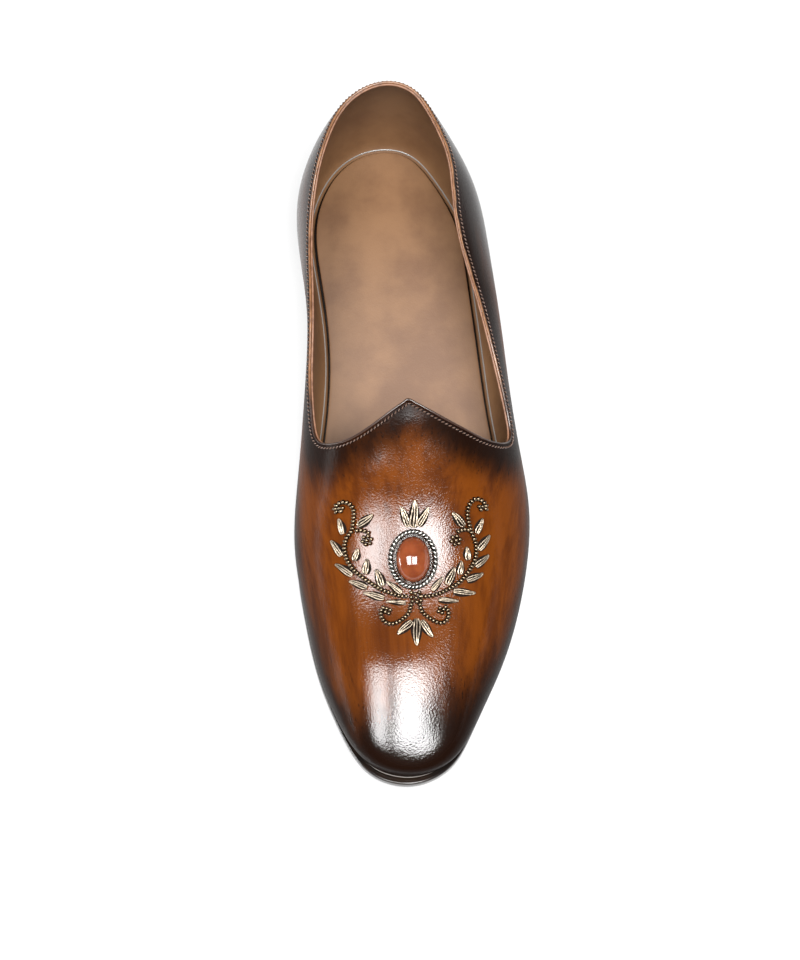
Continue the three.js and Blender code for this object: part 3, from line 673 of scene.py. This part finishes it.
chart_seat = leather_at(*STONE_SEAT)
chart_up, chart_back = leather_normal(*STONE_SEAT)
chart_v = Matrix.Rotation(-CHART_TURN, 3, chart_up) @ chart_back
chart_u = chart_v.cross(chart_up)


def on_vamp(u, v, height):
    """A point of the chart on the leather, raised off it. All three are in metres."""
    above = chart_seat + chart_u * u + chart_v * v + chart_up * OVER_CHART
    spot = vamp.ray_cast(above, -chart_up)[0]
    return spot + leather_normal(spot.x, spot.y)[0] * height


def lay_on_vamp(bm):
    """Bends a mesh that was made flat on the chart onto the vamp."""
    for vert in bm.verts:
        vert.co = on_vamp(*vert.co)
    bmesh.ops.recalc_face_normals(bm, faces=bm.faces)
    return bm


# Beads. The real ones are seed beads with a dark bronze lustre, each sewn down on its own back
# stitch along a drawn line. The hooks end in rosettes of seven beads, the scrolls in smaller ones.
BEAD_ACROSS = 2.1
BEAD_ALONG = 1.5
BEAD_PITCH = 1.5
ROSETTE_BEAD = 1.75
# Each bead is near black underneath and lighter bronze on top: painted shade and painted light.
BRONZE_SHADE = (0.016, 0.009, 0.005, 1)
BRONZE_BRIGHT = (0.21, 0.16, 0.105, 1)
VINES = {
    "inner": [(-3.0, -15.5), (-5.8, -15.3), (-10, -13.8), (-13.7, -12.2), (-17.2, -9.8), (-21.2, -6.8),
              (-24.7, -3.3), (-27, 1), (-27.8, 5.6), (-27, 9.4), (-24.9, 12.5), (-24.3, 16.2), (-24, 20.2),
              (-25.3, 23.3), (-28.3, 24.6), (-31, 23.4), (-31.5, 21.2), (-29.8, 19.8)],
    "outer": [(3.4, -15.5), (6.2, -15.4), (10, -14.5), (14.1, -12.6), (18.7, -9.7), (22, -6),
              (24.6, -1.9), (26, 2.1), (26.1, 6.1), (25.3, 9.2), (24.1, 12), (23.2, 15.4), (22.5, 19.4),
              (23.3, 23.2), (25.8, 25.7), (28.8, 25), (30.6, 22.4), (29.4, 20.5)],
}
HOOKS = {
    "inner": [(-22.8, 12.5), (-20.7, 12.5), (-18.7, 11.7), (-17.1, 10.2)],
    "outer": [(22.8, 12.7), (21.2, 12.8), (19.1, 12.1), (17.6, 10.9)],
}
SCROLLS = {
    "inner": [(-1.0, -19.0), (-1.8, -22), (-3.4, -24.2), (-6.4, -26.3),
              (-8.8, -27.1), (-11, -26.7), (-12.8, -24.9), (-13.4, -22.6), (-12.8, -20.6), (-11, -19.6)],
    "outer": [(2.6, -19.0), (3.4, -21.9), (5.2, -23.7), (8.2, -25.8),
              (10.8, -26.7), (12.8, -26.2), (14.1, -24.4), (14.3, -22.2), (13.4, -20.2), (11.7, -19.4)],
}
# across and up: the middle of the rosette. count: the beads round it. out: how far out they are.
ROSETTES = {
    "inner": [((-18.9, 8.3), 6, 1.8), ((-29.4, 21.7), 3, 0.85)],
    "outer": [((17.7, 8.2), 6, 1.8), ((28.3, 22.2), 3, 0.85)],
}
SCROLL_ROSETTES = {"inner": [((-10.6, -21.6), 4, 1.1)], "outer": [((11.3, -21.4), 4, 1.1)]}
KNOT = [(-0.9, -13.9), (0.7, -14.5), (2.4, -13.8), (-0.9, -15.9), (1.0, -16.2), (2.7, -15.6), (-0.5, -17.6),
        (1.4, -17.9), (3.0, -17.3)]


def drawn_line(points):
    """A smooth open line through the chart's points, in metres."""
    steps = 10
    ends = [2 * Vector(points[0]) - Vector(points[1])], [2 * Vector(points[-1]) - Vector(points[-2])]
    through = ends[0] + [Vector(point) for point in points] + ends[1]
    line = []
    for before, start, end, after in zip(through, through[1:], through[2:], through[3:]):
        handles = (start + (end - before) / 6, end - (after - start) / 6)
        line += interpolate_bezier(start, *handles, end, steps + 1)[:-1]
    return [Vector((*point, 0)) * MM for point in line + [through[-2]]]


def sew_bead(bm, spot, direction, across=BEAD_ACROSS, along=BEAD_ALONG):
    """One bead, wider than it is long, with its axis along the thread. Returns its middle."""
    middle = spot + Vector((0, 0, (0.1 + across / 2) * MM))
    turn = direction.to_track_quat("Z", "Y").to_matrix().to_4x4()
    shape = Matrix.Diagonal((across / 2, across / 2, along / 2, 1))
    bmesh.ops.create_uvsphere(
        bm, u_segments=12, v_segments=8, radius=MM, matrix=Matrix.Translation(middle) @ turn @ shape
    )
    return middle


def sew_line(bm, line):
    places = spaced(drawn_line(line), BEAD_PITCH * MM)
    return [sew_bead(bm, spot, direction) for spot, direction in places]


def sew_rosette(bm, middle, count, out):
    middle = Vector((*middle, 0)) * MM
    up = Vector((0, 0, 1))
    middles = []
    if count > 4:
        middles.append(sew_bead(bm, middle + up * 0.3 * MM, up, ROSETTE_BEAD, ROSETTE_BEAD))
    for i in range(count):
        angle = 2 * math.pi * (i + 0.25) / count
        spot = middle + Vector((math.cos(angle), math.sin(angle), 0)) * out * MM
        middles.append(sew_bead(bm, spot, up, ROSETTE_BEAD, ROSETTE_BEAD))
    return middles


def mark_wear_and_shade(bm, middles, radius):
    """Keeps how far each corner stands above the middle of its own bead or wire, from 0 to 1."""
    worn_and_shaded = bm.verts.layers.float.new("worn_and_shaded")
    near = near_tree(middles)
    for vert in bm.verts:
        above = vert.co.z - near.find(vert.co)[0].z
        vert[worn_and_shaded] = min(1.0, max(0.0, 0.5 + above / radius / 2))


def wear_and_shade_metal(name, deep, bright, roughness, wear_and_shade):
    """Metal that is dark where it lies low and light where it stands up: partly tarnish and rubbing, partly
    painted shade under each bead and wire.
    """
    finish, tree, shader = new_finish(name, bright, roughness, metallic=1.0)
    worn_and_shaded = add_node(tree, "ShaderNodeAttribute", {}, "Fac", attribute_name="worn_and_shaded")
    tarnish = noise(tree, object_place(tree), 700.0)
    patchy = maths(tree, "ADD", worn_and_shaded, fade(tree, tarnish, 0.3, 0.7, -0.15, 0.15))
    colour = blend_colours(tree, fade(tree, patchy, *wear_and_shade), deep, bright)
    tree.links.new(colour, shader.inputs["Base Color"])
    return finish, tree, shader


bronze = wear_and_shade_metal("bronze_beads", BRONZE_SHADE, BRONZE_BRIGHT, 0.3, (0.5, 0.95))[0]
for side in ("inner", "outer"):
    bm = bmesh.new()
    middles = sew_line(bm, VINES[side]) + sew_line(bm, HOOKS[side])
    for rosette in ROSETTES[side]:
        middles += sew_rosette(bm, *rosette)
    mark_wear_and_shade(bm, middles, BEAD_ACROSS / 2 * MM)
    piece_from(
        lay_on_vamp(bm), f"beads_vine_{side}", [bronze], [f"bead_vine_{side}"]
    )
    bm = bmesh.new()
    middles = sew_line(bm, SCROLLS[side])
    for rosette in SCROLL_ROSETTES[side]:
        middles += sew_rosette(bm, *rosette)
    if side == "inner":
        middles += [sew_bead(bm, Vector((*spot, 0.2)) * MM, Vector((0, 0, 1)), 1.75, 1.75) for spot in KNOT]
    mark_wear_and_shade(bm, middles, BEAD_ACROSS / 2 * MM)
    piece_from(
        lay_on_vamp(bm), f"beads_scroll_{side}", [bronze], [f"bead_scroll_{side}"]
    )

# Leaves. The real ones are cut lengths of coiled wire, pale gold and silver, sewn side by side at a
# slant over a dark pad of thread, so that each leaf stands up along its middle.
# Each leaf: its base, its tip, and its width.
LEAVES = {
    "crown": [
        ((-1.5, 13.8), (-5, 21.7), 2.8), ((0.5, 13.3), (0.6, 24.5), 3.4), ((2.5, 13.8), (6.3, 21.7), 2.8),
    ],
    "base": [
        ((-1.0, -25.8), (-6.6, -31.4), 2.8), ((0.9, -25), (1.2, -36), 3.4),
        ((2.9, -25.9), (7.7, -32.4), 2.8),
    ],
    "inner": [
        ((-28.5, 11.4), (-30.4, 17.6), 2.4), ((-29, 2.4), (-33.5, 8.7), 2.6),
        ((-24.8, -6), (-31.7, -1.3), 2.6), ((-18.9, -11.3), (-26.1, -8.7), 2.6),
        ((-12, -15.9), (-20.3, -13.8), 2.6), ((-3.2, -18), (-11, -17.5), 1.8),
        ((-22.4, 14.2), (-16.6, 18.9), 3), ((-23.8, 0), (-22.8, 4.8), 2.6),
        ((-19.3, -5.8), (-19.1, 0.4), 2.8), ((-12.4, -11), (-15.4, -4.1), 3),
        ((-4.8, -13.9), (-10.9, -9.2), 2.2),
    ],
    "outer": [
        ((26.8, 11.3), (29, 17.6), 2.4), ((27.7, 4.3), (32, 10.8), 2.6),
        ((26.2, -2.8), (31.5, 2.5), 2.6), ((22.4, -8.8), (29, -5.4), 2.6),
        ((16.6, -13.4), (25.7, -13.7), 2.6), ((10.4, -16.9), (18.5, -17.2), 2),
        ((21.4, 14.4), (16.4, 19.5), 3), ((23.2, 0.2), (22.2, 5.4), 2.6),
        ((19.7, -6.1), (19.9, -0.6), 2.6), ((14.4, -10.6), (17, -3.2), 3),
        ((7.9, -13.1), (12, -7.4), 2.2),
    ],
}
PLUMP = 1.3
WIRE_RADIUS = 0.4
LEAF_STEPS = 14
LEAF_STRANDS = (-0.9, 0, 0.9)
SLANT = 0.7
PAD_HEIGHT = 0.75
# Wire is darker where it lies low: partly tarnish, partly painted shade between the strands.
WIRE_TARNISH_AND_SHADE = (0.020, 0.012, 0.007, 1)
WIRE_BRIGHT = (0.43, 0.355, 0.27, 1)
# The pad is near black: partly the thread's own colour, partly painted shadow round each leaf.
PAD_BLACK_AND_SHADOW = (0.010, 0.006, 0.004, 1)


def leaf_swell(t):
    """How full a leaf is along its length: blunt at the base, full past it, pointed at the tip."""
    return math.sin(math.pi * (0.06 + 0.94 * t) ** 0.8) ** 0.7


def leaf_strands(base, tip, width):
    base, tip = Vector((*base, 0)), Vector((*tip, 0))
    axis = (tip - base).normalized()
    across = Vector((axis.y, -axis.x, 0))
    half = width * PLUMP / 2
    strands = []
    for share in LEAF_STRANDS:
        line = []
        for i in range(LEAF_STEPS + 1):
            t = i / LEAF_STEPS
            place = share * 0.8 + SLANT * (t - 0.5)
            place = max(-1.0, min(1.0, place))
            rise = 0.25 + WIRE_RADIUS + 0.7 * leaf_swell(t) * (1 - place * place)
            sway = 0.1 * math.sin(6 * t + 2 * share)
            side = across * (place * (half - WIRE_RADIUS) * leaf_swell(t) + sway)
            line.append((base.lerp(tip, t) + side + Vector((0, 0, rise))) * MM)
        strands.append(line)
    return strands


def add_pad(bm, base, tip, width):
    """The dark thread under a leaf, a little wider than the wires on it. Its dark rim round the leaf is
    partly thread, partly painted shadow.
    """
    base, tip = Vector((*base, 0)), Vector((*tip, 0))
    axis = (tip - base).normalized()
    across = Vector((axis.y, -axis.x, 0))
    rows = []
    for i in range(LEAF_STEPS + 1):
        t = i / LEAF_STEPS
        reach = (width * PLUMP / 2 + 0.12) * leaf_swell(t) + 0.08
        middle = base.lerp(tip, t)
        spots = (middle - across * reach, middle + Vector((0, 0, PAD_HEIGHT)), middle + across * reach)
        rows.append([bm.verts.new(spot * MM) for spot in spots])
    for was, row in zip(rows, rows[1:]):
        for k in (0, 1):
            bm.faces.new((was[k], was[k + 1], row[k + 1], row[k]))


wire, tree, shader = wear_and_shade_metal("coiled_wire", WIRE_TARNISH_AND_SHADE, WIRE_BRIGHT, 0.42, (0.5, 1.0))
coils = add_node(
    tree, "ShaderNodeTexWave", {"Vector": object_place(tree), "Scale": 520.0, "Distortion": 2.0}, "Fac"
)
add_bump(tree, shader, coils, 0.07 * MM)
pad_thread_and_shadow, tree, shader = new_finish("pad_thread_and_shadow", PAD_BLACK_AND_SHADOW, 0.9)
shader.inputs["Specular IOR Level"].default_value = 0.1
add_bump(tree, shader, noise(tree, object_place(tree), 1600.0), 0.05 * MM)
pads = bmesh.new()
for spray, leaves in LEAVES.items():
    strands = [strand for leaf in leaves for strand in leaf_strands(*leaf)]
    bm = strand_mesh(strands, WIRE_RADIUS * MM, 8)
    mark_wear_and_shade(bm, [point for strand in strands for point in strand], WIRE_RADIUS * MM)
    nodes = [f"leaf_{spray}_{i + 1}" for i in range(len(leaves))]
    piece_from(lay_on_vamp(bm), f"leaves_{spray}", [wire], nodes)
    for leaf in leaves:
        add_pad(pads, *leaf)
piece_from(lay_on_vamp(pads), "leaf_pads", [pad_thread_and_shadow])

# The setting. The real one is a rope of two twisted silver wires, with a row of fine grains and a
# thin plain lip inside it that is rubbed over the stone's edge. The silver is blackened and worn.
STONE_WIDTH = 14.3
STONE_LENGTH = 19.3
ROPE_OUT = 2.05
ROPE_TURNS = 19
ROPE_LAY = 0.55
ROPE_WIRE = 0.6
GRAINS = 54
GRAIN_OUT = 0.72
GRAIN_RADIUS = 0.38
LIP_OUT = 0.1
LIP_RADIUS = 0.16
# Silver is darker where it lies low: partly blackening, partly painted shade under the wires and grains.
SILVER_TARNISH_AND_SHADE = (0.010, 0.010, 0.009, 1)
SILVER_BRIGHT = (0.42, 0.415, 0.385, 1)


def oval(angle, out):
    return Vector((
        (STONE_WIDTH / 2 + out) * math.cos(angle), (STONE_LENGTH / 2 + out) * math.sin(angle), 0
    ))


silver = wear_and_shade_metal("blackened_silver", SILVER_TARNISH_AND_SHADE, SILVER_BRIGHT, 0.3, (0.55, 0.98))[0]
rope = []
rope_steps = ROPE_TURNS * 14
for strand in (0, 1):
    line = []
    for i in range(rope_steps):
        angle = 2 * math.pi * i / rope_steps
        twist = ROPE_TURNS * angle + strand * math.pi
        spot = oval(angle, ROPE_OUT + ROPE_LAY * math.cos(twist))
        spot.z = 0.2 + ROPE_LAY + ROPE_WIRE + ROPE_LAY * math.sin(twist)
        line.append(spot * MM)
    rope.append(line)
bm = strand_mesh(rope, ROPE_WIRE * MM, 12, True)
mark_wear_and_shade(bm, rope[0] + rope[1], ROPE_WIRE * MM)
lip = [(oval(2 * math.pi * i / 96, LIP_OUT) + Vector((0, 0, 1.25))) * MM for i in range(96)]
grains = strand_mesh([lip], LIP_RADIUS * MM, 8, True)
middles = [(oval(2 * math.pi * i / GRAINS, GRAIN_OUT) + Vector((0, 0, 1.0))) * MM for i in range(GRAINS)]
for middle in middles:
    bmesh.ops.create_uvsphere(
        grains, u_segments=8, v_segments=6, radius=GRAIN_RADIUS * MM, matrix=Matrix.Translation(middle)
    )
# The grains are darkened over more of their height: blackening, and painted shade in the hollow between
# rope and stone.
mark_wear_and_shade(grains, middles + lip, GRAIN_RADIUS * 1.7 * MM)
inner_part = bpy.data.meshes.new("inner_part")
grains.to_mesh(inner_part)
grains.free()
bm.from_mesh(inner_part)
bpy.data.meshes.remove(inner_part)
piece_from(lay_on_vamp(bm), "setting", [silver], ["bezel"])

# The stone. The real one is a carnelian cabochon, cut oval with a flat back and a high polished
# dome, and glued in the setting.
STONE_PROFILE = [
    (0.6, 0.3), (0.97, 0.3), (1.0, 0.6), (1.0, 1.2), (0.93, 2.7), (0.77, 4.1), (0.52, 5.2), (0.24, 5.8),
]
STONE_TOP = 6.0
CARNELIAN = (0.130, 0.030, 0.011, 1)
CARNELIAN_LIGHT = (0.185, 0.046, 0.016, 1)
carnelian, tree, shader = new_finish("carnelian", CARNELIAN, 0.08, coat=0.3, coat_roughness=0.03)
shader.inputs["Subsurface Weight"].default_value = 0.25
shader.inputs["Subsurface Radius"].default_value = (0.003, 0.0009, 0.0003)
shader.inputs["Subsurface Scale"].default_value = 1.0
cloud = noise(tree, object_place(tree), 160.0, 3.0)
stone_colour = blend_colours(tree, fade(tree, cloud, 0.35, 0.7), CARNELIAN, CARNELIAN_LIGHT)
tree.links.new(stone_colour, shader.inputs["Base Color"])
bm = bmesh.new()
made = bmesh.ops.create_circle(bm, cap_ends=True, segments=32, radius=MM)
for vert in made["verts"]:
    wide, high = STONE_PROFILE[0]
    vert.co = Vector((vert.co.x * STONE_WIDTH / 2 * wide, vert.co.y * STONE_LENGTH / 2 * wide, high * MM))
rim = [edge for edge in bm.edges]
for (was, _), (wide, high) in zip(STONE_PROFILE, STONE_PROFILE[1:]):
    grown = bmesh.ops.extrude_edge_only(bm, edges=rim)["geom"]
    ring = [item for item in grown if isinstance(item, bmesh.types.BMVert)]
    for vert in ring:
        vert.co = Vector((vert.co.x * wide / was, vert.co.y * wide / was, high * MM))
    new_edges = [item for item in grown if isinstance(item, bmesh.types.BMEdge)]
    rim = [edge for edge in new_edges if set(edge.verts) <= set(ring)]
top = bmesh.ops.contextual_create(bm, geom=rim)["faces"][0]
bmesh.ops.poke(bm, faces=[top])["verts"][0].co.z = STONE_TOP * MM
seat = Matrix.Translation(chart_seat) @ Matrix((chart_u, chart_v, chart_up)).transposed().to_4x4()
bmesh.ops.transform(bm, matrix=seat, verts=bm.verts)
bmesh.ops.recalc_face_normals(bm, faces=bm.faces)
piece_from(bm, "cabochon", [carnelian], ["stone"], levels=2)

# The floor is a wide pale sheet. The room is kept dim, so that the polish shows only the lamps.
FLOOR_GREY = (0.36, 0.36, 0.36, 1)
FLOOR_GLOW = 0.5
ROOM_LIGHT = 0.03
floor_finish, tree, shader = new_finish("pale_floor", FLOOR_GREY, 0.8)
shader.inputs["Emission Color"].default_value = (1, 1, 1, 1)
shader.inputs["Emission Strength"].default_value = FLOOR_GLOW
bm = bmesh.new()
bmesh.ops.create_grid(bm, x_segments=1, y_segments=1, size=6.0)
floor_mesh = bpy.data.meshes.new("floor")
bm.to_mesh(floor_mesh)
bm.free()
floor_mesh.materials.append(floor_finish)
floor = bpy.data.objects.new("floor", floor_mesh)
bpy.context.scene.collection.objects.link(floor)

room = bpy.data.worlds.new("room")
room.use_nodes = True
room.node_tree.nodes["Background"].inputs["Color"].default_value = (0.95, 0.97, 1, 1)
room.node_tree.nodes["Background"].inputs["Strength"].default_value = ROOM_LIGHT
bpy.context.scene.world = room


# Two soft boxes hang side by side over the toe, with a narrow gap between them. A low strip on the
# inner side and a dim panel on the outer side draw the edges.
def soft_panel(name, place, turn, width, length, radiance):
    light = bpy.data.lights.new(name, "AREA")
    light.shape = "RECTANGLE"
    light.size = width
    light.size_y = length
    light.energy = radiance * math.pi * width * length
    holder = bpy.data.objects.new(name, light)
    holder.location = place
    holder.rotation_euler = turn
    bpy.context.scene.collection.objects.link(holder)


soft_panel("box_outer", (0.25, -0.735, 1.6), (0, 0, 0), 0.82, 0.77, 29)
soft_panel("box_inner", (-0.73, -0.685, 1.6), (0, 0, 0), 0.72, 0.87, 20)
soft_panel("strip_inner", (-1.5, -0.20, 0.13), (0, math.radians(-90), 0), 0.2, 0.5, 24)
soft_panel("panel_outer", (1.6, -0.15, 0.35), (0, math.radians(90), 0), 0.5, 1.4, 1.1)

# The camera stands where the photo was taken from, and is turned to put the one shoe in the middle.
CAMERA_PLACE = Vector((-66.4, -689.9, 1268.8)) * MM
CAMERA_UP = Vector((0.0348, 0.9056, 0.4226))
CAMERA_AIM = Vector((0.5, -121.5, 0.0)) * MM
CAMERA_LENS = 119.4
camera_data = bpy.data.cameras.new("camera")
camera_data.sensor_fit = "VERTICAL"
camera_data.sensor_height = 36
camera_data.lens = CAMERA_LENS
camera = bpy.data.objects.new("camera", camera_data)
forward = (CAMERA_AIM - CAMERA_PLACE).normalized()
right = forward.cross(CAMERA_UP).normalized()
camera.matrix_world = Matrix.LocRotScale(
    CAMERA_PLACE, Matrix((right, right.cross(forward), -forward)).transposed(), None
)
bpy.context.scene.collection.objects.link(camera)
bpy.context.scene.camera = camera
bpy.context.scene.view_settings.view_transform = "Standard"
